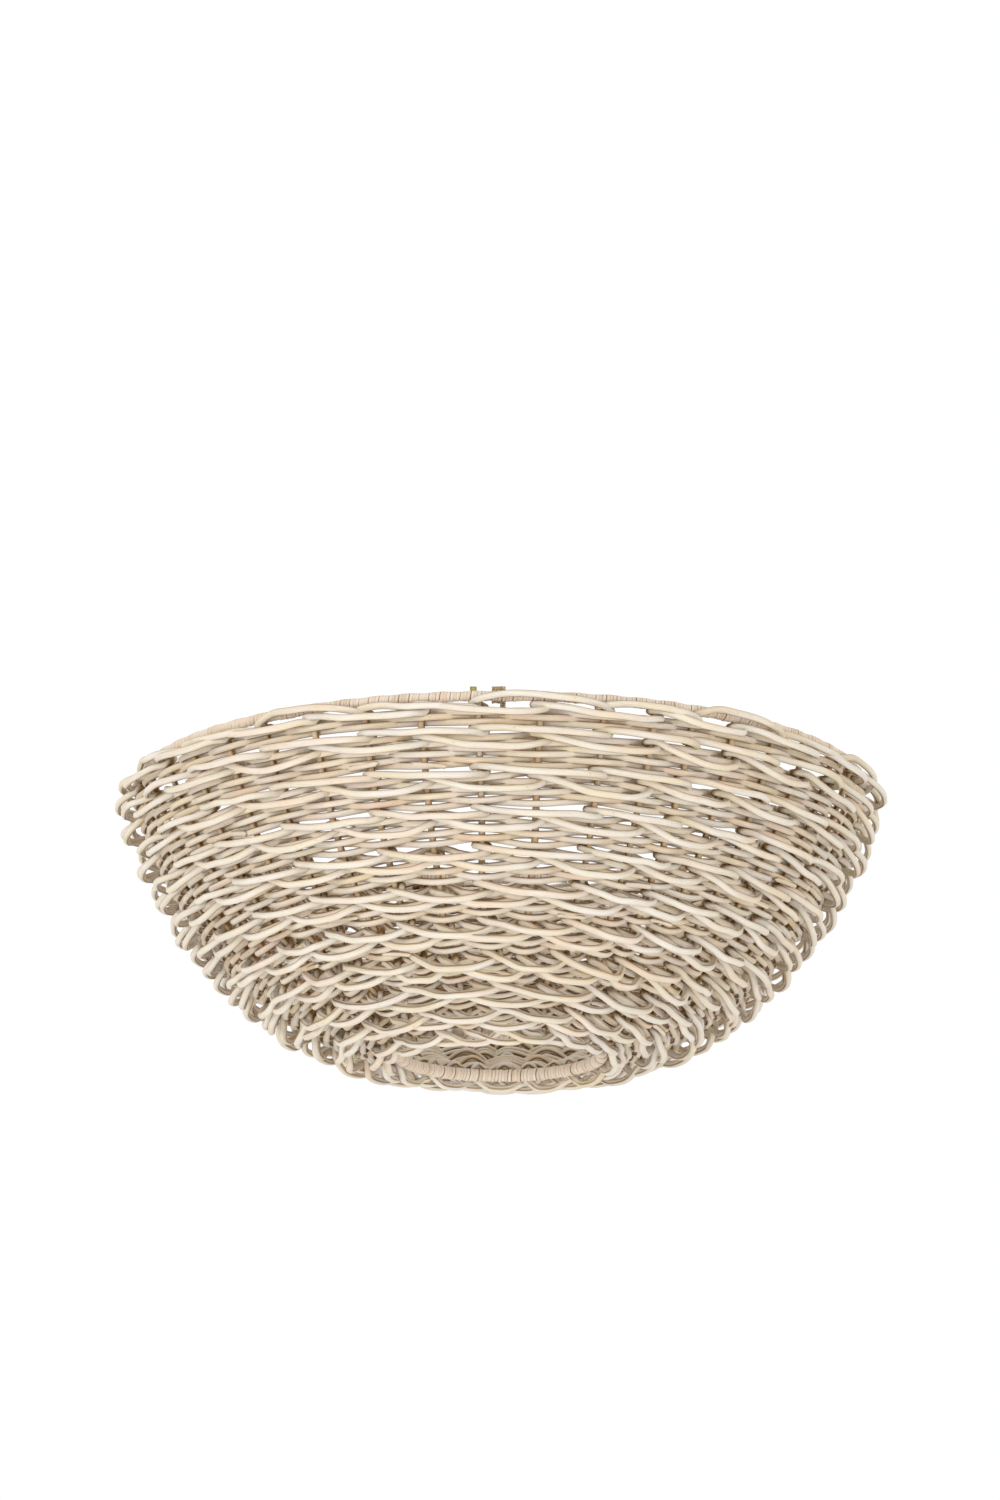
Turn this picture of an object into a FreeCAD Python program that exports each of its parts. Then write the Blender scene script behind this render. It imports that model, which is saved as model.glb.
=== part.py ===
"""Bowl-shaped woven cane basket shade: two bound hoops, stakes, tight weave bands and loop rows.

The wall is one cubic curve, given by four control points (radius, height), turned about Z.
Places given for rows of weaving are distances along that curve from the rim hoop.  Every
ring-shaped piece is a sketch of its cross section on the XZ plane, turned through 360 degrees.
Millimetres, +Z up, origin on the axis at the level that the lowest loops rest on.
"""
import FreeCAD, Part
import math
import os
import Sketcher

V = FreeCAD.Vector

# ---------------------------------------------------------------- driving dimensions
DIMENSIONS = [
    # alias, value, meaning
    ("rim_radius", 287.0, "wall curve, point 1: centre of the rim hoop"),
    ("rim_level", 226.0, "wall curve, point 1 height"),
    ("shoulder_radius", 260.0, "wall curve, point 2"),
    ("shoulder_level", 137.0, "wall curve, point 2 height"),
    ("belly_radius", 196.0, "wall curve, point 3"),
    ("belly_level", 38.0, "wall curve, point 3 height"),
    ("foot_radius", 86.0, "wall curve, point 4: where the stakes meet the base hoop"),
    ("foot_level", 17.5, "wall curve, point 4 height"),
    ("cane_diameter", 5.0, "diameter of the stakes and of the weaving cane"),
    ("stake_count", 42.0, "number of stakes round the bowl"),
    ("stake_top_inset", 4.2, "the stakes stop this far along the curve below the rim hoop"),
    ("short_stake_step", 3.0, "one stake in this many is short and doesn't reach the base hoop"),
    ("short_stake_end", 233.5, "the short stakes stop this far along the curve"),
    ("rim_hoop_diameter", 5.0, "bare rod inside the rim binding"),
    ("rim_binding_diameter", 8.0, "rim over its cane binding"),
    ("base_hoop_radius", 80.0, "centre of the base hoop"),
    ("base_hoop_level", 13.5, "height of the base hoop"),
    ("base_hoop_diameter", 7.0, "bare rod inside the base binding"),
    ("base_binding_diameter", 10.0, "base hoop over its cane binding"),
    ("tier_count", 10.0, "tiers of loops and tight weave between rim and base"),
    ("rim_upper_place", -1.4, "first tier: middle of the upper loops, in front of the rim"),
    ("rim_lower_place", 6.9, "first tier: middle of the lower loops"),
    ("rim_weave_start", 10.9, "first tier: top of its tight rows"),
    ("rim_weave_end", 21.6, "first tier: bottom of its tight rows"),
    ("second_tier_start", 24.5, "second tier: middle of the upper loops"),
    ("tier_pitch", 30.2, "from one tier to the next, from the second tier on"),
    ("lower_loop_place", 5.0, "middle of the lower loops below the upper ones"),
    ("weave_start", 8.9, "top of the tight rows below the middle of the upper loops"),
    ("weave_end", 27.5, "bottom of the tight rows below the middle of the upper loops"),
    ("loop_reach", 22.0, "loop tips stand this far out from the wall curve"),
    ("loop_droop", 5.0, "loop tips hang this far down along the wall"),
    ("rim_loop_reach", 16.0, "the loops in front of the rim stand this far out"),
    ("rim_loop_droop", 3.0, "the loops in front of the rim hang this far down"),
    ("clearance", 0.2, "gap left between neighbouring pieces"),
    ("lower_foot_radius", 93.5, "middle of the flat tips of the lowest row of loops"),
    ("upper_foot_radius", 100.0, "middle of the flat tips of the row above it"),
    ("clip_width", 5.2, "width of the hanger clip behind the rim"),
    ("strap_width", 10.2, "width of the hanger strap behind the rim"),
    ("clip_length", 13.0, "height of the clip from end to end"),
    ("strap_length", 17.0, "height of the strap from end to end"),
    ("tab_thickness", 2.0, "thickness of the clip and the strap"),
    ("tab_gap", 1.2, "from the rim binding to the clip and the strap, allowing for its curve"),
    ("tab_rise", 5.0, "the clip and the strap stand this far above the rim binding"),
    ("clip_place", -20.0, "X of the middle of the clip"),
    ("strap_place", -1.0, "X of the middle of the strap"),
]

ROW_SAMPLES = 400

doc = FreeCAD.newDocument("woven_bowl_shade")
sheet = doc.addObject("Spreadsheet::Sheet", "dims")
for row, (alias, value, meaning) in enumerate(DIMENSIONS, start=1):
    sheet.set("A%d" % row, meaning)
    sheet.set("B%d" % row, repr(value))
    sheet.setAlias("B%d" % row, alias)
doc.recompute()


def size(alias):
    """A driving dimension as a plain number."""
    return float(sheet.get(alias))


# ---------------------------------------------------------------- the wall curve
def bernstein(place):
    """Weights of the four control points at curve parameter `place`."""
    rest = 1.0 - place
    return (rest ** 3, 3 * place * rest ** 2, 3 * place ** 2 * rest, place ** 3)


def bernstein_slope(place):
    """Weights of the four control points in the curve's direction."""
    rest = 1.0 - place
    first, second, third = rest ** 2, 2 * place * rest, place ** 2
    return (-first, first - second, second - third, third)


CONTROL = ("rim", "shoulder", "belly", "foot")


def weighted(weights, kind):
    """Expression of the four control points' `kind` (radius or level), weighted."""
    terms = ["%.6f * dims.%s_%s" % (w, name, kind) for w, name in zip(weights, CONTROL)]
    return "(" + " + ".join(terms) + ")"


def weighted_number(weights, kind):
    """The same sum as a number."""
    return sum(w * size("%s_%s" % (name, kind)) for w, name in zip(weights, CONTROL))


def lengths_along_wall():
    """Curve length from the rim to each of ROW_SAMPLES + 1 even parameter steps."""
    lengths = [0.0]
    previous = None
    for step in range(ROW_SAMPLES + 1):
        weights = bernstein(step / ROW_SAMPLES)
        point = V(weighted_number(weights, "radius"), 0, weighted_number(weights, "level"))
        if previous is not None:
            lengths.append(lengths[-1] + point.distanceToPoint(previous))
        previous = point
    return lengths


WALL_LENGTHS = lengths_along_wall()


def place_at(distance):
    """Curve parameter at a distance along the wall from the rim hoop."""
    for step in range(ROW_SAMPLES):
        start, end = WALL_LENGTHS[step], WALL_LENGTHS[step + 1]
        if distance <= end:
            return (step + (distance - start) / (end - start)) / ROW_SAMPLES
    return 1.0


def wall_corner(distance, offset):
    """Expressions (radius, height) of the point `offset` outside the wall curve."""
    place = place_at(distance)
    along_r = weighted(bernstein_slope(place), "radius")
    along_z = weighted(bernstein_slope(place), "level")
    unit = "sqrt(%s ^ 2 + %s ^ 2)" % (along_r, along_z)
    weights = bernstein(place)
    radius = "%s - (%s) * %s / %s" % (weighted(weights, "radius"), offset, along_z, unit)
    height = "%s + (%s) * %s / %s" % (weighted(weights, "level"), offset, along_r, unit)
    return radius, height


# ---------------------------------------------------------------- helpers
def new_body(label):
    body = doc.addObject("PartDesign::Body", label)
    body.Label = label
    return body


def origin_feature(body, role):
    """One of the body's own origin planes or axes."""
    return next(item for item in body.Origin.OriginFeatures if item.Role == role)


def new_sketch(body, name, role):
    sketch = body.newObject("Sketcher::SketchObject", name)
    sketch.AttachmentSupport = [(origin_feature(body, role), "")]
    sketch.MapMode = "FlatFace"
    return sketch


def bind(sketch, kind, *elements, expression):
    """Add a dimension to a sketch and tie its value to the sheet."""
    index = sketch.addConstraint(Sketcher.Constraint(kind, *elements, 1.0))
    sketch.setExpression("Constraints[%d]" % index, expression)


def closed_outline(sketch, corners):
    """Straight closed outline whose corners (radius, height) are expressions.

    A height of None puts the corner on the base plane.
    """
    guesses = [(100.0 + 10.0 * math.cos(turn), 50.0 + 10.0 * math.sin(turn))
               for turn in (2 * math.pi * k / len(corners) for k in range(len(corners)))]
    first = sketch.GeometryCount
    count = len(corners)
    for k in range(count):
        start, end = guesses[k], guesses[(k + 1) % count]
        sketch.addGeometry(Part.LineSegment(V(start[0], start[1], 0), V(end[0], end[1], 0)), False)
    for k in range(count):
        following = first + (k + 1) % count
        sketch.addConstraint(Sketcher.Constraint("Coincident", first + k, 2, following, 1))
    for k, (radius, height) in enumerate(corners):
        bind(sketch, "DistanceX", -1, 1, first + k, 1, expression=radius)
        if height is None:
            sketch.addConstraint(Sketcher.Constraint("PointOnObject", first + k, 1, -1))
        else:
            bind(sketch, "DistanceY", -1, 1, first + k, 1, expression=height)


def turned(body, sketch):
    """Turn a cross section through 360 degrees about Z."""
    ring = body.newObject("PartDesign::Revolution", "ring")
    ring.Profile = sketch
    ring.ReferenceAxis = (origin_feature(body, "Z_Axis"), [""])
    ring.Angle = 360.0
    body.Tip = ring
    return ring


def ring_body(label, *outlines):
    """A body turned from one or more closed straight cross sections."""
    body = new_body(label)
    body.AllowCompound = True
    for outline in outlines:
        sketch = new_sketch(body, "section", "XZ_Plane")
        closed_outline(sketch, outline)
        doc.recompute()
        turned(body, sketch)
        doc.recompute()
    return body


def wall_outline(top, bottom, near, far, droop=0.0):
    """Four corners between two places along the wall and two offsets from it.

    The far side may droop, further along the wall than the near side.
    """
    return [
        wall_corner(top, near),
        wall_corner(bottom, near),
        wall_corner(bottom + droop, far),
        wall_corner(top + droop, far),
    ]


# ---------------------------------------------------------------- hoops and bindings
def hoop_body(label, radius, level, outer, inner=None):
    """A round hoop, or the binding round it when an inner diameter is given."""
    body = new_body(label)
    sketch = new_sketch(body, "section", "XZ_Plane")
    for diameter in filter(None, (outer, inner)):
        index = sketch.addGeometry(Part.Circle(V(100, 50, 0), V(0, 0, 1), 4.0), False)
        bind(sketch, "DistanceX", -1, 1, index, 3, expression=radius)
        bind(sketch, "DistanceY", -1, 1, index, 3, expression=level)
        bind(sketch, "Diameter", index, expression=diameter)
    doc.recompute()
    turned(body, sketch)
    return body


def make_hoops():
    rim = ("dims.rim_radius", "dims.rim_level")
    base = ("dims.base_hoop_radius", "dims.base_hoop_level")
    return [
        hoop_body("rim_hoop", *rim, "dims.rim_hoop_diameter"),
        hoop_body("rim_binding", *rim, "dims.rim_binding_diameter",
                  "dims.rim_hoop_diameter + 2 * dims.clearance"),
        hoop_body("base_hoop", *base, "dims.base_hoop_diameter"),
        hoop_body("base_binding", *base, "dims.base_binding_diameter",
                  "dims.base_hoop_diameter + 2 * dims.clearance"),
    ]


# ---------------------------------------------------------------- stakes
def stake_spine(end):
    """The wall curve from just under the rim hoop to the curve parameter `end`."""
    poles = [V(size(name + "_radius"), 0, size(name + "_level")) for name in CONTROL]
    curve = Part.BezierCurve()
    curve.setPoles(poles)
    curve.segment(place_at(size("stake_top_inset")), end)
    return curve


def make_rod(end):
    """One round stake in the XZ plane."""
    curve = stake_spine(end)
    start = curve.value(curve.FirstParameter)
    direction = curve.tangent(curve.FirstParameter)[0]
    profile = Part.Wire(Part.Circle(start, direction, size("cane_diameter") / 2).toShape())
    return Part.Wire(curve.toShape()).makePipeShell([profile], True, True)


def make_stakes():
    """All the stakes as one group of separate rods, evenly spaced round the axis.

    The bowl narrows downward, so one stake in three is short: it is let in between the others.
    """
    full, short = make_rod(1.0), make_rod(place_at(size("short_stake_end")))
    count, step = int(size("stake_count")), int(size("short_stake_step"))
    rods = []
    for k in range(count):
        rod = short if k % step == step - 1 else full
        rods.append(rod.rotated(V(0, 0, 0), V(0, 0, 1), k * 360.0 / count))
    stakes = doc.addObject("Part::Feature", "stakes")
    stakes.Label = "stakes"
    stakes.Shape = Part.makeCompound(rods)
    stakes.Placement = FreeCAD.Placement()
    return stakes


# ---------------------------------------------------------------- weaving
STAKE_FACE = "dims.cane_diameter / 2 + dims.clearance"
WEAVE_FACE = "3 * dims.cane_diameter / 2"
RIM_FACE = "dims.rim_binding_diameter / 2 + dims.clearance"


def tier_start(tier):
    """Place of the upper loops of the second tier and of every tier below it."""
    return size("second_tier_start") + (tier - 1) * size("tier_pitch")


def make_weave_bands():
    """Tight rows: the passes outside the stakes and the passes inside them."""
    bands = []
    for tier in range(int(size("tier_count"))):
        if tier == 0:
            top, bottom = size("rim_weave_start"), size("rim_weave_end")
        else:
            top = tier_start(tier) + size("weave_start")
            bottom = tier_start(tier) + size("weave_end")
        outside = wall_outline(top, bottom, STAKE_FACE, WEAVE_FACE)
        inside = wall_outline(top, bottom, "-(%s)" % STAKE_FACE, "-(%s)" % WEAVE_FACE)
        bands.append(ring_body("weave_band_%02d" % (tier + 1), outside, inside))
    return bands


def loop_outline(middle, face=STAKE_FACE, kind="loop"):
    """A row of loops in section: out from the stakes or the rim, with its tips hanging down."""
    half = size("cane_diameter") / 2 - size("clearance")
    return wall_outline(middle - half, middle + half, face, "dims.%s_reach" % kind,
                        size("%s_droop" % kind))


def foot_outline(middle, foot_radius):
    """A row of the lowest loops in section, with tips that end flat on the base plane."""
    half = size("cane_diameter") / 2 - size("clearance")
    return [
        wall_corner(middle - half, STAKE_FACE),
        wall_corner(middle + half, STAKE_FACE),
        ("%s - dims.cane_diameter / 2" % foot_radius, None),
        ("%s + dims.cane_diameter / 2" % foot_radius, None),
    ]


def loop_sections(tier, tiers):
    """Cross sections of a tier's two rows of loops, upper one first."""
    if tier == 0:
        return (loop_outline(size("rim_upper_place"), RIM_FACE, "rim_loop"),
                loop_outline(size("rim_lower_place")))
    upper = tier_start(tier)
    lower = upper + size("lower_loop_place")
    if tier < tiers:
        return loop_outline(upper), loop_outline(lower)
    return (foot_outline(upper, "dims.upper_foot_radius"),
            foot_outline(lower, "dims.lower_foot_radius"))


def make_loop_rows():
    """Two rows of loops at the top of every tier, and two more above the base hoop."""
    rows = []
    tiers = int(size("tier_count"))
    for tier in range(tiers + 1):
        for row, section in zip(("upper", "lower"), loop_sections(tier, tiers)):
            rows.append(ring_body("%s_loops_%02d" % (row, tier + 1), section))
    return rows


# ---------------------------------------------------------------- hanger remains on the rim
def make_tab(label, name):
    """A short upright strip against the inner side of the rim binding, standing above it."""
    tab = doc.addObject("Part::Box", label)
    tab.Label = label
    tab.setExpression("Length", "dims.%s_width" % name)
    tab.setExpression("Width", "dims.tab_thickness")
    tab.setExpression("Height", "dims.%s_length" % name)
    tab.setExpression("Placement.Base.x", "dims.{0}_place - dims.{0}_width / 2".format(name))
    tab.setExpression("Placement.Base.y",
                      "dims.rim_binding_diameter / 2 + dims.tab_gap - dims.rim_radius")
    tab.setExpression("Placement.Base.z",
                      "dims.rim_level + dims.rim_binding_diameter / 2 + dims.tab_rise"
                      " - dims.%s_length" % name)
    return tab


def make_hanger_tabs():
    return [make_tab("hanger_clip", "clip"), make_tab("hanger_strap", "strap")]


# ---------------------------------------------------------------- build, check, write
def check_and_write(pieces):
    doc.recompute()
    broken = [item.Label for item in doc.Objects
              if "Invalid" in item.State or "Error" in item.State]
    if broken:
        raise RuntimeError("objects failed: " + ", ".join(broken))
    for piece in pieces:
        shape = piece.Shape
        if shape.isNull() or not shape.isValid() or not shape.Solids:
            raise RuntimeError("bad shape: " + piece.Label)
    os.makedirs("parts", exist_ok=True)
    for piece in pieces:
        piece.Shape.exportStep("parts/%s.step" % piece.Label)
        print("%-18s solids %3d volume %10.1f" % (
            piece.Label, len(piece.Shape.Solids), piece.Shape.Volume))


print("wall length %.1f" % WALL_LENGTHS[-1])
check_and_write(make_hoops() + [make_stakes()] + make_weave_bands() + make_loop_rows()
                + make_hanger_tabs())
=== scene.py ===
"""Looks of the woven cane bowl shade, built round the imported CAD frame. Metres, +Z up.

The wall of the bowl is one cubic curve turned about Z.  A place on the woven wall is given by
    angle  - round the axis, or `turn`, counted in stakes,
    along  - distance down the wall from the rim hoop,
    out    - distance outside the wall curve.
Every cane is a round tube that follows such places over and under the stakes.
"""
import math

import bpy
import numpy as np
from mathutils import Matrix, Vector


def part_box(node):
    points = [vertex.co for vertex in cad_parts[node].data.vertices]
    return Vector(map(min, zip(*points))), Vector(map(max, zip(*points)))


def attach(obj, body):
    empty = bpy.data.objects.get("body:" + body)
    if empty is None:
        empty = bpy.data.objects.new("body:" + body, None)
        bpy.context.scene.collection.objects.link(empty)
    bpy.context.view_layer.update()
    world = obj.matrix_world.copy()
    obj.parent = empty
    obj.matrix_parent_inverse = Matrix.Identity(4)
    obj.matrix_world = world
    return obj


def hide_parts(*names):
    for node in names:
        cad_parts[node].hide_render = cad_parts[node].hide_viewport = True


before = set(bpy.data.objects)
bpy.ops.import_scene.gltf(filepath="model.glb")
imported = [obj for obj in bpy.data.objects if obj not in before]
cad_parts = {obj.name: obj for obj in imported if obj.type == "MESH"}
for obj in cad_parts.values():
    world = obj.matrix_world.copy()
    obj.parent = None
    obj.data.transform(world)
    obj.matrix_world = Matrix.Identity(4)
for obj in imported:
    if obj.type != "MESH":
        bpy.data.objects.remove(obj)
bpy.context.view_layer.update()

MM = 0.001
RNG = np.random.default_rng(20417)


# ---------------------------------------------------------------- sizes read from the frame
def hoop_of(node):
    """(radius, level, thickness) of a round hoop that lies flat about the axis."""
    low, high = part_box(node)
    thickness = high.z - low.z
    return (high.x - low.x - thickness) / 2, (high.z + low.z) / 2, thickness


RIM_RADIUS, RIM_LEVEL, _ = hoop_of("rim_hoop")
RIM_BINDING = hoop_of("rim_binding")[2] / 2
BASE_RADIUS, BASE_LEVEL, _ = hoop_of("base_hoop")
BASE_BINDING = hoop_of("base_binding")[2] / 2
TIERS = sum(name.startswith("weave_band_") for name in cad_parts)

STAKES = 42                         # at the rim
SHORT_END = 233.5 * MM              # one stake in three stops here, so that fewer reach the base
CANE = 2.62 * MM                    # radius of the cane
WRAP = 5.2 * MM                     # from the middle of a stake to the middle of a cane round it

# Control points of the wall curve, as fractions of the rim's radius and level.
SHOULDER = (0.906, 0.606)
BELLY = (0.683, 0.168)
FOOT_STEP_OUT = 6.0 * MM            # the stakes end this far outside the base hoop's middle,
FOOT_STEP_UP = 4.0 * MM             # and this far above it

# Places along the wall.  The first tier is squeezed in under the rim.
RIM_LOOPS = 7.0 * MM
RIM_TIGHT_ROWS = (10.9 * MM, 14.7 * MM, 18.5 * MM)
SECOND_TIER = 24.5 * MM
TIER_PITCH = 30.2 * MM
LOWER_LOOPS = 5.0 * MM              # below the upper loops of the same tier
TIGHT_ROWS = (5.5 * MM, 9.6 * MM, 13.7 * MM, 17.8 * MM, 22.0 * MM, 26.2 * MM)


# ---------------------------------------------------------------- the wall
def wall_table(samples=1200, before=-0.06, after=1.06):
    """Columns along, radius, level, outward radius and outward level of the wall curve."""
    place = np.linspace(before, after, samples)
    rest = 1.0 - place
    points = np.array([
        (RIM_RADIUS, RIM_LEVEL),
        (RIM_RADIUS * SHOULDER[0], RIM_LEVEL * SHOULDER[1]),
        (RIM_RADIUS * BELLY[0], RIM_LEVEL * BELLY[1]),
        (BASE_RADIUS + FOOT_STEP_OUT, BASE_LEVEL + FOOT_STEP_UP),
    ])
    weights = np.array([rest ** 3, 3 * place * rest ** 2, 3 * place ** 2 * rest, place ** 3]).T
    curve = weights @ points
    step = np.gradient(curve, axis=0)
    length = np.hypot(step[:, 0], step[:, 1])
    along = np.concatenate([[0.0], np.cumsum(np.hypot(*np.diff(curve, axis=0).T))])
    along -= np.interp(0.0, place, along)
    return along, curve[:, 0], curve[:, 1], -step[:, 1] / length, step[:, 0] / length


WALL = wall_table()
WALL_END = float(np.interp(BASE_RADIUS + FOOT_STEP_OUT, WALL[1][::-1], WALL[0][::-1]))


def wall_at(along):
    """Radius, level and outward direction (radius, level) of the wall at `along`."""
    return tuple(np.interp(along, WALL[0], column) for column in WALL[1:])


def wall_points(angle, along, out):
    """Points in space of places on the wall."""
    radius, level, out_r, out_z = wall_at(along)
    reach = radius + out * out_r
    return np.stack([reach * np.cos(angle), reach * np.sin(angle), level + out * out_z], axis=-1)


def down_directions(angle, along):
    """Unit vectors pointing down the wall, the way the stakes run."""
    _, _, out_r, out_z = wall_at(along)
    return np.stack([out_z * np.cos(angle), out_z * np.sin(angle), -out_r], axis=-1)


def outward_directions(angle, along):
    """Unit vectors pointing straight out of the wall."""
    _, _, out_r, out_z = wall_at(along)
    return np.stack([out_r * np.cos(angle), out_r * np.sin(angle), out_z], axis=-1)


# The stakes aren't quite evenly spaced, and the ones at the front lean a little to the right.
FRONT_STAKE = 33
LEAN = 0.34                         # in even gaps
LEAN_WIDTH = 2.2                    # how many stakes to each side of the front one lean too
UNEVENNESS = 0.07                   # in even gaps
STAKE_SHIFT = RNG.uniform(-UNEVENNESS, UNEVENNESS, STAKES) \
    + LEAN * np.exp(-((np.arange(STAKES) - FRONT_STAKE) / LEAN_WIDTH) ** 2)
# Stakes 2, 5, 8 and so on are the short ones; further down the others spread out to fill in.
FULL_STAKES = [k for k in range(STAKES) if k % 3 != 2]
SPREAD = np.tile([-0.25, 0.25, 0.0], STAKES // 3)
SPREAD_START, SPREAD_END = 150 * MM, 235 * MM


def stake_places(along):
    """Places of all the stakes round the bowl, in even gaps, at one place along the wall."""
    opened = np.clip((along - SPREAD_START) / (SPREAD_END - SPREAD_START), 0.0, 1.0)
    return np.arange(STAKES) + STAKE_SHIFT + SPREAD * opened ** 2 * (3 - 2 * opened)


def stakes_at(along):
    """How many stakes there are at a place along the wall."""
    return STAKES if along < SHORT_END else len(FULL_STAKES)


def angle_of(turn, along):
    """Angle round the axis of a place counted in the stakes that are there, whole on a stake."""
    places = stake_places(along)
    if along >= SHORT_END:
        places = places[FULL_STAKES]
    count = len(places)
    places = np.append(places, places[0] + STAKES)
    lap = np.floor(turn / count)
    within = np.interp(turn - lap * count, np.arange(count + 1), places)
    return (within + lap * STAKES) * 2 * math.pi / STAKES


def stake_gap(along):
    """Distance from one stake to the next, at `along`."""
    return wall_at(along)[0] * 2 * math.pi / stakes_at(along)


def smooth_noise(phase, waves, amplitude):
    """Random smooth curve over phase 0 to 1 that joins up with itself."""
    total = np.zeros_like(phase)
    for wave in waves:
        total += RNG.normal() * np.sin(2 * math.pi * (wave * phase + RNG.random()))
    return amplitude * total / math.sqrt(len(waves))


# ---------------------------------------------------------------- meshes
def add_mesh(name, vertices, faces, attributes):
    """A smooth-shaded mesh object with per-vertex attributes."""
    mesh = bpy.data.meshes.new(name)
    mesh.vertices.add(len(vertices))
    mesh.vertices.foreach_set("co", np.asarray(vertices, np.float32).ravel())
    mesh.loops.add(faces.size)
    mesh.loops.foreach_set("vertex_index", faces.astype(np.int32).ravel())
    mesh.polygons.add(len(faces))
    starts = np.arange(0, faces.size, faces.shape[1], dtype=np.int32)
    mesh.polygons.foreach_set("loop_start", starts)
    mesh.polygons.foreach_set("use_smooth", np.ones(len(faces), bool))
    for key, values in attributes.items():
        kind = "FLOAT_VECTOR" if values.ndim == 2 else "FLOAT"
        layer = mesh.attributes.new(key, kind, "POINT")
        layer.data.foreach_set("vector" if values.ndim == 2 else "value",
                               np.asarray(values, np.float32).ravel())
    mesh.update()
    mesh.validate()
    thing = bpy.data.objects.new(name, mesh)
    bpy.context.scene.collection.objects.link(thing)
    return thing


def grid_faces(rows, columns, closed_rows):
    """Quads of a grid whose columns join up, and whose rows do too when closed."""
    row = np.arange(rows if closed_rows else rows - 1)[:, None]
    column = np.arange(columns)[None, :]
    following = (row + 1) % rows
    side = (column + 1) % columns
    corners = [row * columns + column, row * columns + side,
               following * columns + side, following * columns + column]
    return np.stack(np.broadcast_arrays(*corners), axis=-1).reshape(-1, 4)


class Strands:
    """Collects tubes, then makes one mesh of them."""

    SIDES = 8
    PATTERN_STEP = 0.37             # each tube shows another stretch of the grain

    def __init__(self, side_shade=0.9):
        self.side_shade = side_shade      # how much more painted shade the sides of a cane get than its face
        self.vertices, self.faces, self.fibre, self.tone, self.painted_shade = [], [], [], [], []
        self.count = 0

    def tube(self, path, side, radius, tone, painted_shade, outward, closed=True):
        """One round cane along `path`.

        side: directions that are never along the path, outward: away from the wall.
        radius, tone and painted shade are numbers or one value for each point of the path.
        """
        steps = len(path)
        if closed:
            ahead = np.roll(path, -1, axis=0) - np.roll(path, 1, axis=0)
        else:
            ahead = np.gradient(path, axis=0)
        ahead /= np.linalg.norm(ahead, axis=1, keepdims=True)
        first = side - (side * ahead).sum(1, keepdims=True) * ahead
        first /= np.linalg.norm(first, axis=1, keepdims=True)
        second = np.cross(ahead, first)
        turn = np.arange(self.SIDES) * 2 * math.pi / self.SIDES
        normal = first[:, None] * np.cos(turn)[None, :, None] \
            + second[:, None] * np.sin(turn)[None, :, None]
        width = np.broadcast_to(radius, steps)
        skin = path[:, None] + normal * width[:, None, None]
        facing = (normal * outward[:, None]).sum(-1)
        run = np.concatenate([[0.0], np.cumsum(np.linalg.norm(np.diff(path, axis=0), axis=1))])
        fibre = np.stack(np.broadcast_arrays(
            run[:, None] + self.count * self.PATTERN_STEP,
            np.cos(turn)[None], np.sin(turn)[None]), axis=-1)
        start = sum(len(v) for v in self.vertices)
        self.vertices.append(skin.reshape(-1, 3))
        self.faces.append(grid_faces(steps, self.SIDES, closed) + start)
        self.fibre.append(fibre.reshape(-1, 3))
        self.tone.append(np.repeat(np.broadcast_to(tone, steps), self.SIDES))
        # Painted shade: the given amount, plus more on the sides of the cane, which turn away from
        # the outside.
        shade_amount = np.broadcast_to(painted_shade, steps)[:, None] + self.side_shade * (1 - abs(facing)) ** 2
        self.painted_shade.append(np.clip(shade_amount, 0.0, 1.0).ravel())
        self.count += 1

    def build(self, name):
        """The mesh object of all the tubes."""
        return add_mesh(name, np.concatenate(self.vertices), np.concatenate(self.faces), {
            "fibre": np.concatenate(self.fibre),
            "tone": np.concatenate(self.tone),
            "painted_shade": np.concatenate(self.painted_shade),
        })


# Painted shade, most where a cane lies in the middle of the wall, between the rows.
MOST_PAINTED_SHADE = 0.32
OPEN_OUTSIDE = 8 * MM               # a cane this far outside the wall gets no painted shade,
OPEN_INSIDE = 12 * MM               # nor does one this far inside it


def painted_shade_of(out):
    """How much painted shade a place on the wall gets: most in the wall, 0 well outside or inside
    it.
    """
    reach = np.where(out > 0, OPEN_OUTSIDE, OPEN_INSIDE)
    return MOST_PAINTED_SHADE * np.clip(1.0 - np.abs(out) / reach, 0.0, 1.0)


def curve_through(points, steps):
    """A closed smooth curve through points, `steps` samples from each point to the next."""
    after = np.roll(points, -1, axis=0)
    chord = np.linalg.norm(after - points, axis=1, keepdims=True)
    slope = (after - points) / chord
    before_chord, before_slope = np.roll(chord, 1, axis=0), np.roll(slope, 1, axis=0)
    tangent = (slope * before_chord + before_slope * chord) / (chord + before_chord)
    next_tangent = np.roll(tangent, -1, axis=0)
    t = (np.arange(steps) / steps)[None, :, None]
    p0, p1 = points[:, None], after[:, None]
    m0, m1 = (tangent * chord)[:, None], (next_tangent * chord)[:, None]
    samples = (2 * t ** 3 - 3 * t ** 2 + 1) * p0 + (t ** 3 - 2 * t ** 2 + t) * m0 \
        + (3 * t ** 2 - 2 * t ** 3) * p1 + (t ** 3 - t ** 2) * m1
    return samples.reshape(-1, points.shape[1])


# ---------------------------------------------------------------- stakes
STAKE_TOP = 3.2 * MM                # the stakes start here, inside the rim's binding,
STAKE_TAIL = 1 * MM                 # and the long ones end this far past the wall's end
STAKE_WANDER = 0.6 * MM             # how far a stake strays sideways,
STAKE_BEND = 0.25 * MM              # and how far in and out of the wall
STAKE_THICKNESS = (0.94, 1.04)      # of the thinnest and the thickest stake, against CANE
# Painted shade on the face of a stake, which lies in the wall; its sides get more.
STAKE_PAINTED_SHADE = 0.45


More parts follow.
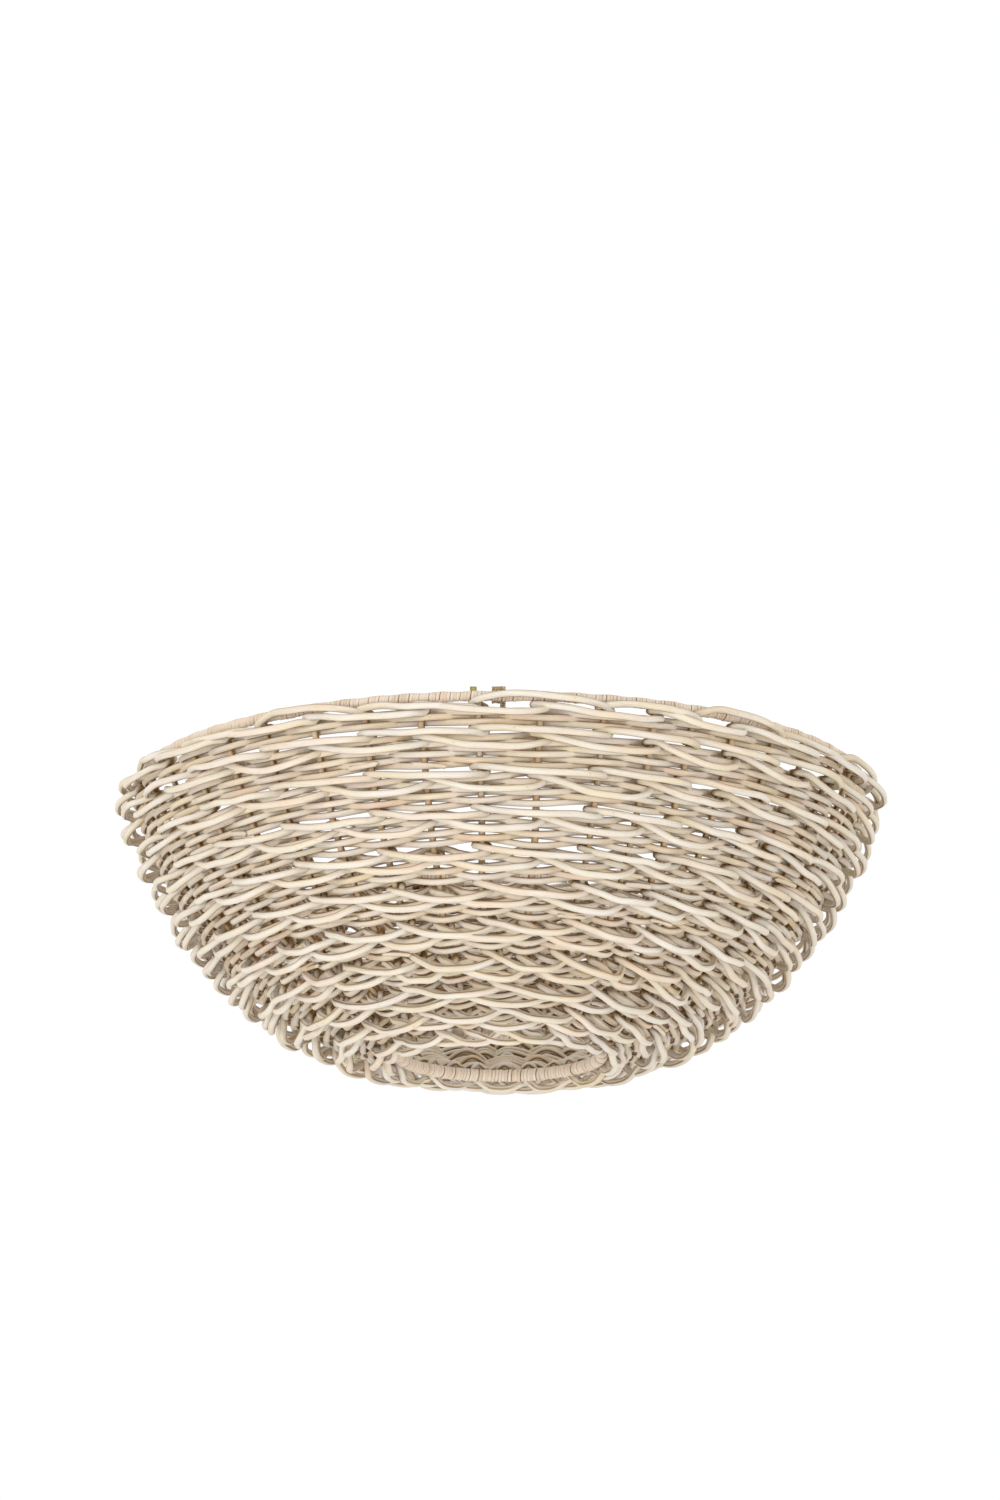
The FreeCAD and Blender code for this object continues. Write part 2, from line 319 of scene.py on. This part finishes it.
def make_stakes():
    """The upright canes, each wandering a little from its place."""
    strands = Strands()
    samples = 90
    phase = np.linspace(0, 1, samples)
    for k in range(STAKES):
        end = WALL_END + STAKE_TAIL if k in FULL_STAKES else SHORT_END
        along = STAKE_TOP + (end - STAKE_TOP) * phase
        angle = np.array([stake_places(place)[k] for place in along]) * 2 * math.pi / STAKES
        angle = angle + smooth_noise(phase, (1, 2, 3), STAKE_WANDER) / wall_at(along)[0]
        out = smooth_noise(phase, (1, 2, 4), STAKE_BEND)
        across = np.stack([-np.sin(angle), np.cos(angle), np.zeros(samples)], axis=-1)
        width = CANE * RNG.uniform(*STAKE_THICKNESS)
        strands.tube(wall_points(angle, along, out), across, width, RNG.random(),
                     STAKE_PAINTED_SHADE, outward_directions(angle, along), closed=False)
    return strands.build("woven_stakes")


# ---------------------------------------------------------------- tight rows
TIGHT_THICKNESS = 1.04              # of the cane in the tight rows, against CANE,
TIGHT_UNEVENNESS = 0.035            # and how much it changes along a row
TIGHT_SHADES = 0.18                 # how much the tone changes along a row
SNUG = 0.97                         # how closely a tight row goes round a stake, against WRAP
LOOSE = 1.9                         # the same for the inner side of the first row of a tier
TIGHT_WANDER = 1.1 * MM             # how far a band of tight rows rises and falls,
TIGHT_RIPPLE = 0.40 * MM            # and how far each of its rows does besides
TIGHT_BEND = 0.25 * MM              # how far a row strays in and out of the wall


def wander(size):
    """A slow random rise and fall on the way round, as a function of phase 0 to 1."""
    waves = (2, 3, 5, 8, 12)
    heights = RNG.normal(size=len(waves)) * size / math.sqrt(len(waves))
    starts = RNG.random(len(waves))

    def shift(phase):
        return sum(height * np.sin(2 * math.pi * (wave * phase + start))
                   for wave, height, start in zip(waves, heights, starts))
    return shift


def tight_row(strands, along, parity, inner_reach, shift):
    """One cane all the way round, outside the stakes of one parity and inside the others.

    inner_reach: how far inside it passes, shift: how far down it runs, as a function of phase.
    """
    count = stakes_at(along)
    samples = count * 10
    phase = np.arange(samples) / samples
    turn = phase * count
    wave = np.cos(math.pi * (turn - parity))
    out = np.where(wave > 0, WRAP * SNUG, inner_reach) * wave
    out = out + smooth_noise(phase, (3, 7, 11, 19), TIGHT_BEND)
    place = along + shift(phase) + smooth_noise(phase, (2, 5, 9, 14, 23), TIGHT_RIPPLE)
    angle = angle_of(turn, along)
    width = CANE * (TIGHT_THICKNESS + smooth_noise(phase, (3, 8, 13), TIGHT_UNEVENNESS))
    tone = RNG.random() + smooth_noise(phase, (1, 2, 5), TIGHT_SHADES)
    # The cane gets painted shade where it lies deep in the wall and along its sides.
    strands.tube(wall_points(angle, place, out), down_directions(angle, place), width, tone,
                 painted_shade_of(out), outward_directions(angle, place))


def tier_start(tier):
    """Place of the upper loops of the second tier and of every tier below it."""
    return SECOND_TIER + (tier - 1) * TIER_PITCH


def make_tight_rows(tier):
    """The tight rows of a tier.  The first bends further in, round the lower loops' turns."""
    strands = Strands()
    if tier == 0:
        rows = RIM_TIGHT_ROWS
    else:
        rows = [tier_start(tier) + row for row in TIGHT_ROWS]
    shift = wander(TIGHT_WANDER)
    for number, along in enumerate(rows):
        inner_reach = WRAP * (LOOSE if number == 0 else SNUG)
        tight_row(strands, along, (number + 1) % 2, inner_reach, shift)
    return strands.build("tight_rows_%02d" % (tier + 1))


# ---------------------------------------------------------------- loops
# Droops and lifts are along the wall, so a loop with a negative lift stands higher.
# These four go from the first value at the rim to the second at the base.
UPPER_DROOP = (-1.0 * MM, 2.0 * MM)
LOWER_DROOP = (7.5 * MM, 4.0 * MM)
LOOP_THICKNESS = (1.03, 1.13)       # of the cane in the loops, against CANE
UNRULY = (0.8, 1.6)                 # how much one loop differs from the next

LOOP_UNEVENNESS = 0.05              # how much the thickness changes along a row,
LOOP_SHADES = 0.12                  # and how much the tone does
LOOP_REACH = 21.0 * MM              # how far the loops stand out from the wall
LOWEST_CUT = 6.5 * MM               # the lowest loops are this much shorter,
CUT_START = 0.7                     # and they grow shorter from this depth, 1 being the base
LOOP_LIFT = -0.9 * MM
RIM_REACH = 15.0 * MM               # the upper loops at the rim stand out less,
RIM_DROOP = 1.0 * MM                # droop less,
RIM_LIFTS = (-4.0 * MM, -8.8 * MM)  # and rise in front of the rim, high and higher by turns
RIM_LOWER_DROOP = 3.4 * MM          # the lower loops at the rim
LOOP_WANDER = 0.9 * MM              # how far a row of loops rises and falls
REACH_RANGE = (-0.10, 0.08)         # a loop's reach is shorter or longer by up to these parts,
DROOP_RANGE = (0.7, 1.25)           # its droop is multiplied by something between these,
DROOP_SPREAD = 1.2 * MM             # and differs by this besides
CORNER_SPREAD = 0.4 * MM            # how much each bend of a loop strays
NEW_CANE_CHANCE = 0.25              # how often a loop is of another cane than the one before


def loop_corners(turn, gap, reach, droop, lift):
    """Places (turn, along, out) that one loop passes, from behind its stake to beside the next.

    The cane goes right round the stake at `turn`, comes out over the end of the loop before,
    hangs in front of two gaps and passes under the start of the next loop.
    """
    side = WRAP / gap
    return [
        # round the stake, from behind it
        (turn, 0.0, -WRAP),
        (turn - side, -1.0 * MM, 0.0),
        (turn - 0.2 * side, -2.0 * MM + 0.15 * lift, 7.0 * MM),
        # out and across the two gaps, farthest out a little past the stake between them
        (turn + 0.36, 0.42 * droop - 1.2 * MM + 0.9 * lift, 0.68 * reach),
        (turn + 0.76, 0.85 * droop - 0.4 * MM + lift, 0.94 * reach),
        (turn + 1.20, droop + 0.95 * lift, reach),
        (turn + 1.62, 0.85 * droop + 0.9 * MM + 0.8 * lift, 0.92 * reach),
        # in again under the next loop, to the far side of its stake
        (turn + 2 - 0.4 * side, 0.45 * droop + 1.6 * MM + 0.4 * lift, 0.64 * reach),
        (turn + 2 + 0.8 * side, 0.10 * droop + 2.0 * MM, 0.28 * reach),
        (turn + 2 + side, 1.0 * MM, 0.0),
    ]


def loop_row(strands, along, parity, reach, droop, lifts, unruly, thickness):
    """The loops of one row: one cane that goes round every second stake.

    unruly: how much one loop differs from the next, thickness: of the cane, against CANE.
    """
    gap = stake_gap(along)
    count = stakes_at(along)
    shift = wander(LOOP_WANDER)
    corners = []
    shades = []
    shade = RNG.random()
    for number in range(count // 2):
        size = reach * (1.0 + unruly * RNG.uniform(*REACH_RANGE))
        drop = droop * RNG.uniform(*DROOP_RANGE) + RNG.normal() * unruly * DROOP_SPREAD
        turn = parity + 2.0 * number
        one = loop_corners(turn, gap, size, drop, lifts[number % len(lifts)])
        height = along + shift(turn / count)
        corners += [(t, height + a + RNG.normal() * unruly * CORNER_SPREAD, o) for t, a, o in one]
        if RNG.random() < NEW_CANE_CHANCE:
            shade = RNG.random()
        shades += [shade] * len(one)
    corners = np.array(corners)
    # The row joins up with itself, so it is shaped with a copy before and one after.
    lap = np.array([count, 0.0, 0.0])
    tripled = np.concatenate([corners - lap, corners, corners + lap])
    tripled[:, 0] *= gap
    steps = 5
    samples = curve_through(tripled, steps)[len(corners) * steps:2 * len(corners) * steps]
    turn, place, out = samples[:, 0] / gap, samples[:, 1], samples[:, 2]
    angle = angle_of(turn, along)
    phase = np.arange(len(samples)) / len(samples)
    width = CANE * (thickness + smooth_noise(phase, (5, 11, 17, 29), LOOP_UNEVENNESS))
    tone = np.repeat(shades, steps) + smooth_noise(phase, (2, 5, 9), LOOP_SHADES)
    # The cane gets painted shade where it lies deep in the wall and along its sides.
    strands.tube(wall_points(angle, place, out), down_directions(angle, place), width, tone,
                 painted_shade_of(out), outward_directions(angle, place))


def make_loops(tier, row):
    """One row of loops: the upper row goes round the odd stakes, the lower round the even."""
    strands = Strands()
    depth = tier / TIERS            # 0 at the rim, 1 at the base
    parity = 1 if row == "upper" else 0
    reach = LOOP_REACH - LOWEST_CUT * max(0.0, depth - CUT_START) / (1 - CUT_START)
    droop = np.interp(depth, (0, 1), UPPER_DROOP if row == "upper" else LOWER_DROOP)
    lifts = (LOOP_LIFT,)
    if tier > 0:
        along = tier_start(tier) + (LOWER_LOOPS if row == "lower" else 0.0)
    else:
        along = RIM_LOOPS
        if row == "upper":
            reach, droop, lifts = RIM_REACH, RIM_DROOP, RIM_LIFTS
        else:
            droop = RIM_LOWER_DROOP
    unruly = np.interp(depth, (0, 1), UNRULY)
    thickness = np.interp(depth, (0, 1), LOOP_THICKNESS)
    loop_row(strands, along, parity, reach, droop, lifts, unruly, thickness)
    return strands.build("%s_loop_row_%02d" % (row, tier + 1))


# ---------------------------------------------------------------- bound hoops
RIM_PITCH = 2.6 * MM                # from one turn of the binding to the next
BASE_PITCH = 2.7 * MM
BAND_WIDTH = 1.06                   # of the flat cane, in pitches, so each turn laps the last
BAND_UNEVENNESS = 0.02              # how much half of that changes
TURN_STRAY = 0.12                   # how far a turn strays sideways, in pitches,
TURN_LIFT = 0.22 * MM               # and how far it lies higher or lower than the others
TURN_SHADES = 0.45                  # how much the tone changes from turn to turn


def make_binding(name, radius, level, thickness, pitch):
    """Flat cane wound round a hoop, one turn beside the next."""
    turns = round(2 * math.pi * radius / pitch)
    per_turn = 16
    steps = turns * per_turn
    phase = np.arange(steps) / steps
    # The band's section: places across it from edge to edge, and how high each of them lies.
    across = np.array([-1.0, -0.78, 0.0, 0.78, 1.0])
    crown = np.array([-0.6, -0.06, 0.0, -0.06, -0.6]) * MM
    waves = (7, 19, 43, 71, turns // 3, turns // 2)
    shift = smooth_noise(phase, waves, TURN_STRAY * pitch)
    height = thickness + smooth_noise(phase, waves, TURN_LIFT)
    half_width = pitch * (BAND_WIDTH / 2 + smooth_noise(phase, waves, BAND_UNEVENNESS))
    sideways = shift[:, None] + across * half_width[:, None]
    round_hoop = 2 * math.pi * phase[:, None] + sideways / radius
    round_tube = np.broadcast_to(2 * math.pi * turns * phase[:, None], round_hoop.shape)
    lift = height[:, None] + crown
    reach = radius + lift * np.cos(round_tube)
    vertices = np.stack([reach * np.cos(round_hoop), reach * np.sin(round_hoop),
                         level + lift * np.sin(round_tube)], axis=-1)
    faces = []
    count = len(across)
    step = np.arange(steps)
    for column in range(count - 1):
        here, there = step * count + column, ((step + 1) % steps) * count + column
        faces.append(np.stack([here, there, there + 1, here + 1], axis=-1))
    run = phase * turns * 2 * math.pi * thickness
    fibre = np.stack(np.broadcast_arrays(run[:, None], across[None], 0.0), axis=-1)
    tone = 0.5 + smooth_noise(phase, waves, TURN_SHADES)
    # Painted shade: a little darker towards the axis, and darkest along the band's edges, where
    # one turn meets the next.
    inner = 0.5 - 0.5 * np.cos(round_tube)
    painted_shade = 0.1 + 0.15 * inner + 0.8 * (np.abs(across) > 0.9)
    return add_mesh(name, vertices.reshape(-1, 3), np.concatenate(faces), {
        "fibre": fibre.reshape(-1, 3),
        "tone": np.repeat(tone, count),
        "painted_shade": np.broadcast_to(painted_shade, lift.shape).ravel(),
    })


# ---------------------------------------------------------------- hoops, cut ends and hanger
def make_rod(name, node):
    """The bare rod inside a binding."""
    radius, level, thickness = hoop_of(node)
    samples = 240
    angle = np.arange(samples) * 2 * math.pi / samples
    heights = np.full(samples, level)
    path = np.stack([radius * np.cos(angle), radius * np.sin(angle), heights], axis=-1)
    up = np.tile([0.0, 0.0, 1.0], (samples, 1))
    outward = np.stack([np.cos(angle), np.sin(angle), np.zeros(samples)], axis=-1)
    rod = Strands(side_shade=0.0)
    # A little painted shade all over the rod, and none more on its sides.
    rod.tube(path, up, thickness / 2, 0.5, 0.5, outward)
    return rod.build(name)


ENDS_PER_TIER = 5
END_LENGTH = (14.0 * MM, 30.0 * MM)
END_THICKNESS = (0.55, 0.9)         # against CANE
END_TIP = 0.1 * MM                  # radius at the very tips
END_BELOW = 1.8 * MM                # an end starts this far below the row that it lies on,
END_SLOPE = 3.0 * MM                # and goes up or down by as much as this,
END_OUT = 5.5 * MM                  # from this far outside the wall curve,
END_LIFT = 3.5 * MM                 # lifting off by this at its tip


def make_cut_ends():
    """Short ends of cane left where one cane gives way to the next, lying on the tight rows."""
    ends = Strands()
    samples = 14
    phase = np.linspace(0.0, 1.0, samples)
    for tier in range(1, TIERS):
        for _ in range(ENDS_PER_TIER):
            row = RNG.choice(TIGHT_ROWS[1:-1]) + END_BELOW
            along = tier_start(tier) + row + phase * RNG.uniform(-END_SLOPE, END_SLOPE)
            length = RNG.uniform(*END_LENGTH) / stake_gap(along[0])
            turn = RNG.uniform(0, stakes_at(along[0])) + phase * length
            out = END_OUT + END_LIFT * phase ** 2
            angle = angle_of(turn, along[0])
            width = np.full(samples, CANE * RNG.uniform(*END_THICKNESS))
            width[0] = width[-1] = END_TIP
            # Little painted shade on the faces of the ends, more on their sides.
            ends.tube(wall_points(angle, along, out), down_directions(angle, along), width,
                      RNG.uniform(0.5, 1.1), 0.1, outward_directions(angle, along), closed=False)
    return ends.build("cut_ends")


CORDS = 8                           # side by side in the band
LONG_CORDS = 3                      # the ones of them that hang down past the rim
CORD_STRAY = 0.15 * MM              # how far a cord strays sideways,
CORD_BEND = 0.3 * MM                # and how far back and forth
CORD_KNOBS = 9                      # thicker places along a cord,
KNOB_SIZE = 0.12                    # and how much thicker they are
FIBRE_PITCH = 1.6 * MM              # from one crosswise fibre to the next
FIBRE = 0.35 * MM                   # radius of a crosswise fibre
FIBRE_STRAY = 0.35 * MM             # how far one strays up and down
FIBRE_RIPPLE = 0.35                 # how far one dips between the cords, in cord radii


def make_strap():
    """Coarse brown fibre band: upright cords side by side, with finer fibres wound across."""
    low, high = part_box("hanger_strap")
    middle = (low + high) / 2
    thick = (high.x - low.x) / CORDS / 2
    rim_bottom = RIM_LEVEL - RIM_BINDING
    strap = Strands(side_shade=0.25)
    samples = 40
    phase = np.linspace(0.0, 1.0, samples)
    across = np.tile([1.0, 0.0, 0.0], (samples, 1))
    outward = np.tile([0.0, -1.0, 0.0], (samples, 1))
    for cord in range(CORDS):
        x = low.x + (2 * cord + 1) * thick + smooth_noise(phase, (2, 5), CORD_STRAY)
        y = middle.y + smooth_noise(phase, (1, 3), CORD_BEND)
        foot = low.z if cord >= CORDS - LONG_CORDS else rim_bottom
        z = foot + (high.z - foot) * phase
        knobs = np.sin(2 * math.pi * (CORD_KNOBS * phase + RNG.random()))
        width = thick * (1.0 + KNOB_SIZE * knobs)
        strap.tube(np.stack([x, y, z], axis=-1), across, width, RNG.random(), 0.2, outward,
                   closed=False)
    upright = np.tile([0.0, 0.0, 1.0], (samples, 1))
    fibres = round((high.z - low.z) / FIBRE_PITCH)
    for fibre in range(fibres):
        level = low.z + (fibre + 0.5) * (high.z - low.z) / fibres
        left = low.x if level > rim_bottom else high.x - 2 * LONG_CORDS * thick
        x = left + (high.x - left) * phase
        ripple = np.cos(2 * math.pi * (CORDS * phase + 0.5 * (fibre % 2)))
        y = middle.y - thick * (1.0 + FIBRE_RIPPLE * ripple)
        z = level + smooth_noise(phase, (1, 3, 5), FIBRE_STRAY)
        strap.tube(np.stack([x, y, z], axis=-1), upright, FIBRE, RNG.random(),
                   0.1, outward, closed=False)
    return strap.build("hanger_band")


CLIP_EDGE = 0.5 * MM                # how far the clip's edges are rounded


def make_clip():
    """A small metal plate with rounded edges."""
    low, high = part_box("hanger_clip")
    bpy.ops.mesh.primitive_cube_add(size=1.0, location=(low + high) / 2)
    clip = bpy.context.object
    clip.name = "folded_clip"
    clip.scale = high - low
    bpy.ops.object.transform_apply(location=False, rotation=False, scale=True)
    bevel = clip.modifiers.new("edges", "BEVEL")
    bevel.width = CLIP_EDGE
    bevel.segments = 3
    bpy.ops.object.modifier_apply(modifier=bevel.name)
    return clip


# ---------------------------------------------------------------- materials
def new_material(name):
    """A material with its node tree and its one shader."""
    material = bpy.data.materials.new(name)
    material.use_nodes = True
    tree = material.node_tree
    tree.nodes.clear()
    output = tree.nodes.new("ShaderNodeOutputMaterial")
    shader = tree.nodes.new("ShaderNodeBsdfPrincipled")
    tree.links.new(shader.outputs["BSDF"], output.inputs["Surface"])
    return material, tree, shader


def add_node(tree, kind, inputs=None, **settings):
    """A node with its settings, its inputs either linked from sockets or set."""
    node = tree.nodes.new(kind)
    for key, value in settings.items():
        setattr(node, key, value)
    for key, value in (inputs or {}).items():
        if isinstance(value, bpy.types.NodeSocket):
            tree.links.new(value, node.inputs[key])
        else:
            node.inputs[key].default_value = value
    return node


def noise(tree, vector, scale, detail, roughness=0.55):
    node = add_node(tree, "ShaderNodeTexNoise", {
        "Vector": vector, "Scale": scale, "Detail": detail, "Roughness": roughness})
    return node.outputs["Fac"]


def remap(tree, value, low, high, to_low=0.0, to_high=1.0):
    """`value` from low to high, as to_low to to_high."""
    node = add_node(tree, "ShaderNodeMapRange", {
        "Value": value, "From Min": low, "From Max": high, "To Min": to_low, "To Max": to_high})
    return node.outputs["Result"]


def mix(tree, factor, first, second):
    """The first colour where the factor is 0, the second where it is 1."""
    node = add_node(tree, "ShaderNodeMix", data_type="RGBA")
    for index, value in ((0, factor), (6, first), (7, second)):
        if isinstance(value, bpy.types.NodeSocket):
            tree.links.new(value, node.inputs[index])
        else:
            node.inputs[index].default_value = value
    return node.outputs[2]


def linear(red, green, blue):
    """A colour picked as 0 to 255 on a screen, as the shader's linear colour."""
    def one(value):
        value /= 255.0
        return value / 12.92 if value <= 0.04045 else ((value + 0.055) / 1.055) ** 2.4
    return (one(red), one(green), one(blue), 1.0)


def attribute(tree, name, output="Fac"):
    """One of the values that a mesh carries on each of its points."""
    return add_node(tree, "ShaderNodeAttribute", attribute_name=name).outputs[output]


def grain(tree, fibre, along, around, detail, roughness=0.55):
    """Noise drawn out along the cane: its scale along the cane and round it."""
    node = add_node(tree, "ShaderNodeVectorMath", {0: fibre, 1: (along, around, around)},
                    operation="MULTIPLY")
    return noise(tree, node.outputs["Vector"], scale=1.0, detail=detail, roughness=roughness)


# Colours are 0 to 255 on a screen.
# Each kind of cane: its colour on the palest and on the warmest strands, how far it is
# whitewashed, and how much its hue changes along a strand.
CANES = {
    "loop_cane": ((210, 202, 188), (203, 189, 163), 1.0, 0.85),
    "weave_cane": ((221, 211, 194), (211, 192, 162), 0.8, 1.0),
    "stake_cane": ((214, 190, 156), (196, 166, 126), 0.3, 1.0),
    "cane_binding": ((218, 203, 184), (203, 182, 158), 0.6, 0.4),
    "hoop_rod": ((206, 182, 148), (184, 154, 116), 0.2, 1.0),
}
WASH_WHITE = (216, 210, 200)
THREAD_TAN = (182, 150, 108)
# Painted shade between the canes and along their sides.
PAINTED_SHADE_BROWN = (122, 86, 34)
SPECK_BROWN = (112, 84, 56)
# Tinted stretches of a strand: the grain's scale along and round the cane, the values of it
# where the tint starts and where it is full, the tint's strength and its colour.
TINTS = (
    (13.0, 0.2, 0.52, 0.68, 0.45, (218, 200, 152)),     # straw yellow
    (9.0, 0.3, 0.54, 0.68, 0.55, (220, 186, 164)),      # pinkish
    (16.0, 0.4, 0.56, 0.70, 0.50, (206, 202, 208)),     # lilac grey
)
STRAP_BROWN, STRAP_PALE, STRAP_HAIR = (160, 130, 90), (210, 186, 146), (104, 78, 50)
BRASS, TARNISHED_BRASS = (172, 162, 98), (124, 112, 62)


def cane_material(name, pale, warm, wash, variety):
    """Whitewashed cane: fibres along the strand, warmer strands, and painted shade in brown where
    the cane lies in the wall and along its sides.
    """
    pale, warm = linear(*pale), linear(*warm)
    material, tree, shader = new_material(name)
    fibre = attribute(tree, "fibre", "Vector")
    streaks = grain(tree, fibre, along=45.0, around=2.6, detail=4.0, roughness=0.6)
    threads = grain(tree, fibre, along=70.0, around=9.0, detail=2.0)
    patches = grain(tree, fibre, along=22.0, around=0.5, detail=2.0)
    specks = grain(tree, fibre, along=420.0, around=1.6, detail=2.0, roughness=0.7)

    colour = mix(tree, remap(tree, attribute(tree, "tone"), 0.35, 1.05), pale, warm)
    for along, around, start, full, strength, tint in TINTS:
        stretch = grain(tree, fibre, along, around, detail=1.0)
        amount = remap(tree, stretch, start, full, 0.0, strength * variety)
        colour = mix(tree, amount, colour, linear(*tint))
    colour = mix(tree, remap(tree, streaks, 0.42, 0.70, 0.0, 0.55), colour, warm)
    washed = remap(tree, patches, 0.44, 0.66, 0.0, 0.6 * wash)
    colour = mix(tree, washed, colour, linear(*WASH_WHITE))
    colour = mix(tree, remap(tree, threads, 0.56, 0.70, 0.0, 0.45), colour, linear(*THREAD_TAN))
    # Painted shade: brown as the mesh's shade value rises, a little uneven in patches.
    shade_amount = add_node(tree, "ShaderNodeMath", {
        0: remap(tree, attribute(tree, "painted_shade"), 0.45, 0.90),
        1: remap(tree, patches, 0.35, 0.65, 0.8, 1.1)}, operation="MULTIPLY").outputs[0]
    colour = mix(tree, shade_amount, colour, linear(*PAINTED_SHADE_BROWN))
    colour = mix(tree, remap(tree, specks, 0.66, 0.80, 0.0, 0.6), colour, linear(*SPECK_BROWN))
    tree.links.new(colour, shader.inputs["Base Color"])

    shader.inputs["Roughness"].default_value = 0.7
    shader.inputs["Specular IOR Level"].default_value = 0.25
    bump = add_node(tree, "ShaderNodeBump", {
        "Strength": 0.6, "Distance": 0.25 * MM, "Height": streaks})
    tree.links.new(bump.outputs["Normal"], shader.inputs["Normal"])
    return material


def fibre_material():
    """Coarse brown palm fibre with light and dark hairs."""
    material, tree, shader = new_material("strap_fibre")
    fibre = attribute(tree, "fibre", "Vector")
    hairs = grain(tree, fibre, along=400.0, around=3.0, detail=3.0, roughness=0.7)
    colour = mix(tree, attribute(tree, "tone"), linear(*STRAP_BROWN), linear(*STRAP_PALE))
    colour = mix(tree, remap(tree, hairs, 0.45, 0.65, 0.0, 0.75), colour, linear(*STRAP_HAIR))
    tree.links.new(colour, shader.inputs["Base Color"])
    shader.inputs["Roughness"].default_value = 0.9
    return material


def metal_material():
    """Dull brass with a green cast."""
    material, tree, shader = new_material("clip_metal")
    place = add_node(tree, "ShaderNodeTexCoord").outputs["Object"]
    tarnish = noise(tree, place, scale=600.0, detail=3.0)
    tarnished = remap(tree, tarnish, 0.4, 0.65)
    colour = mix(tree, tarnished, linear(*BRASS), linear(*TARNISHED_BRASS))
    tree.links.new(colour, shader.inputs["Base Color"])
    tree.links.new(remap(tree, tarnish, 0.4, 0.65, 0.35, 0.6), shader.inputs["Roughness"])
    shader.inputs["Metallic"].default_value = 0.5
    return material


def make_materials():
    """The materials by name, each named after the record's slot that it goes with."""
    materials = {name: cane_material(name, *look) for name, look in CANES.items()}
    materials["strap_fibre"] = fibre_material()
    materials["clip_metal"] = metal_material()
    return materials


# ---------------------------------------------------------------- put together
def finish_piece(piece, materials, slot, *nodes):
    """Give a piece the material of its slot, hang it on the root body, and hide the CAD nodes that
    it stands for.
    """
    piece.data.materials.append(materials[slot])
    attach(piece, "root")
    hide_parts(*nodes)


def make_object():
    """Every piece of the bowl.  The random draws follow this order."""
    materials = make_materials()
    finish_piece(make_stakes(), materials, "stake_cane", "stakes")
    for tier in range(TIERS):
        finish_piece(make_tight_rows(tier), materials, "weave_cane",
                     "weave_band_%02d" % (tier + 1))
    for tier in range(TIERS + 1):
        for row in ("upper", "lower"):
            finish_piece(make_loops(tier, row), materials, "loop_cane",
                         "%s_loops_%02d" % (row, tier + 1))
    finish_piece(make_binding("rim_wrapping", RIM_RADIUS, RIM_LEVEL, RIM_BINDING, RIM_PITCH),
                 materials, "cane_binding", "rim_binding")
    finish_piece(make_binding("base_wrapping", BASE_RADIUS, BASE_LEVEL, BASE_BINDING, BASE_PITCH),
                 materials, "cane_binding", "base_binding")
    finish_piece(make_rod("rim_rod", "rim_hoop"), materials, "hoop_rod", "rim_hoop")
    finish_piece(make_rod("base_rod", "base_hoop"), materials, "hoop_rod", "base_hoop")
    finish_piece(make_strap(), materials, "strap_fibre", "hanger_strap")
    finish_piece(make_clip(), materials, "clip_metal", "hanger_clip")
    finish_piece(make_cut_ends(), materials, "weave_cane")


# ---------------------------------------------------------------- stage, light and camera
CAMERA_DISTANCE = 5.0
CAMERA_BELOW = math.radians(13.5)        # the camera looks up at the bowl from this far below
AIM_LEVEL = 0.1237                       # level on the axis that the angle is measured from
AIM_ABOVE = math.radians(1.52)           # the bowl sits this far below the middle of the frame
VIEW_HEIGHT = 1.185                      # height of the frame at the bowl
FLOOR_LEVEL = -1.5
FLOOR_SIZE = 80.0
FLOOR_GREY = 0.97
WORLD_STRENGTH = 1.02
BOWL_MIDDLE = (0.0, 0.0, 0.12)           # what the lights point at


def make_stage():
    """A pale floor far below the bowl, in white light from all round."""
    bpy.ops.mesh.primitive_plane_add(size=FLOOR_SIZE, location=(0, 0, FLOOR_LEVEL))
    floor = bpy.context.object
    floor.name = "floor"
    material, _, shader = new_material("floor")
    shader.inputs["Base Color"].default_value = (FLOOR_GREY, FLOOR_GREY, FLOOR_GREY, 1.0)
    shader.inputs["Roughness"].default_value = 0.9
    floor.data.materials.append(material)

    world = bpy.data.worlds.new("studio")
    bpy.context.scene.world = world
    world.use_nodes = True
    background = world.node_tree.nodes["Background"]
    background.inputs["Color"].default_value = (1.0, 1.0, 1.0, 1.0)
    background.inputs["Strength"].default_value = WORLD_STRENGTH


def add_area_light(name, location, size, power):
    """A round soft light that points at the middle of the bowl."""
    light = bpy.data.lights.new(name, "AREA")
    light.shape = "DISK"
    light.size = size
    light.energy = power
    holder = bpy.data.objects.new(name, light)
    holder.location = location
    towards = Vector(BOWL_MIDDLE) - Vector(location)
    holder.rotation_euler = towards.to_track_quat("-Z", "Y").to_euler()
    bpy.context.scene.collection.objects.link(holder)


def make_light():
    add_area_light("key", location=(-2.0, -2.5, -0.3), size=1.5, power=38.0)
    add_area_light("fill", location=(2.2, -2.2, -0.6), size=1.2, power=20.0)


def make_camera():
    camera = bpy.data.cameras.new("camera")
    camera.sensor_width = 36.0
    camera.lens = camera.sensor_width * CAMERA_DISTANCE / VIEW_HEIGHT
    camera.clip_end = 200.0
    holder = bpy.data.objects.new("camera", camera)
    holder.location = (0.0, -CAMERA_DISTANCE * math.cos(CAMERA_BELOW),
                       AIM_LEVEL - CAMERA_DISTANCE * math.sin(CAMERA_BELOW))
    holder.rotation_euler = (math.radians(90) + CAMERA_BELOW + AIM_ABOVE, 0.0, 0.0)
    bpy.context.scene.collection.objects.link(holder)
    bpy.context.scene.camera = holder


bpy.context.scene.view_settings.view_transform = "Standard"
make_object()
make_stage()
make_light()
make_camera()
